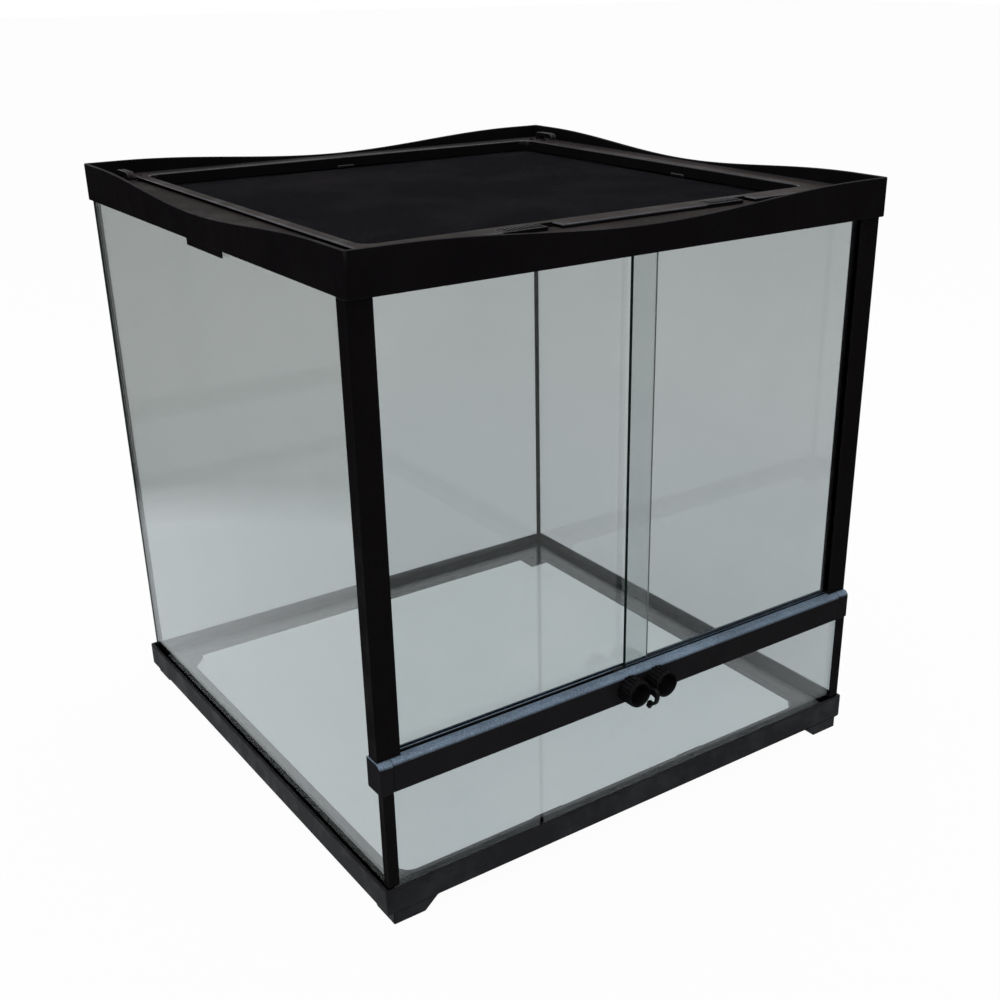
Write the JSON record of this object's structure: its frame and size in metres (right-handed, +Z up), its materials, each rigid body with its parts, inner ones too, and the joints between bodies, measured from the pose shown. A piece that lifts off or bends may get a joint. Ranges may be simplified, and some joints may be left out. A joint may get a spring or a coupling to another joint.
{
  "type": "terrarium cabinet",
  "caption": "Glass terrarium cabinet with sliding front doors that lock with turning knobs, black plastic frames and a hinged mesh lid with sliding latches.",
  "frame": {"origin": "centre of the bounding box at the level the feet stand on", "axes": "+Z up, +X to the right seen from the doors, +Y from the doors towards the back glass"},
  "size_m": [0.4636, 0.4818, 0.481],
  "materials": {
    "frame_plastic": "satin black moulded plastic",
    "gloss_plastic": "semi-gloss black moulded plastic",
    "glass": "clear float glass with green edges",
    "silicone": "black silicone",
    "mesh": "fine dark metal mesh",
    "screw_steel": "plain steel"
  },
  "bodies": {
    "cabinet": {"base_frame": "frame_plastic", "top_frame": "frame_plastic", "floor_glass": "glass", "back_glass": "glass", "front_lower_glass": "glass", "door_rail": "gloss_plastic", "upper_door_track": "frame_plastic", "padlock_hook": "frame_plastic", "floor_seal_back": "silicone", "floor_seal_front": "silicone", "left_glass": "glass", "floor_seal_left": "silicone", "back_left_seal": "silicone", "left_front_post": "frame_plastic", "left_door_jamb": "frame_plastic", "left_corner_strip": "frame_plastic", "left_rail_cap": "gloss_plastic", "left_hinge_hook": "gloss_plastic", "right_glass": "glass", "floor_seal_right": "silicone", "back_right_seal": "silicone", "right_front_post": "frame_plastic", "right_door_jamb": "frame_plastic", "right_corner_strip": "frame_plastic", "right_rail_cap": "gloss_plastic", "right_hinge_hook": "gloss_plastic"},
    "left_door": {"left_door_glass": "glass", "left_door_shoe": "frame_plastic"},
    "right_door": {"right_door_glass": "glass", "right_door_shoe": "frame_plastic"},
    "left_lock": {"left_lock_knob": "frame_plastic", "left_lock_spindle": "frame_plastic", "left_lock_screw": "screw_steel"},
    "right_lock": {"right_lock_knob": "frame_plastic", "right_lock_spindle": "frame_plastic", "right_lock_screw": "screw_steel"},
    "lid": {"lid_frame": "gloss_plastic", "lid_mesh": "mesh", "mesh_retainer": "frame_plastic"},
    "left_latch": {"left_lid_latch": "gloss_plastic"},
    "right_latch": {"right_lid_latch": "gloss_plastic"}
  },
  "joints": [
    {"name": "left_door_slide", "type": "slide", "parent": "cabinet", "child": "left_door", "axis": [1, 0, 0], "range_m": [0, 0.185]},
    {"name": "right_door_slide", "type": "slide", "parent": "cabinet", "child": "right_door", "axis": [-1, 0, 0], "range_m": [0, 0.185]},
    {"name": "left_knob_turn", "type": "hinge", "parent": "cabinet", "child": "left_lock", "pos_m": [-0.01325, -0.2209, 0.122], "axis": [0, -1, 0], "range_deg": [-90, 0]},
    {"name": "right_knob_turn", "type": "hinge", "parent": "cabinet", "child": "right_lock", "pos_m": [0.01325, -0.2209, 0.122], "axis": [0, 1, 0], "range_deg": [-90, 0]},
    {"name": "lid_hinge", "type": "hinge", "parent": "cabinet", "child": "lid", "pos_m": [0, 0.2001, 0.47115], "axis": [-1, 0, 0], "range_deg": [0, 150]},
    {"name": "left_latch_slide", "type": "slide", "parent": "lid", "child": "left_latch", "axis": [1, 0, 0], "range_m": [0, 0.01]},
    {"name": "right_latch_slide", "type": "slide", "parent": "lid", "child": "right_latch", "axis": [1, 0, 0], "range_m": [0, 0.01]}
  ]
}
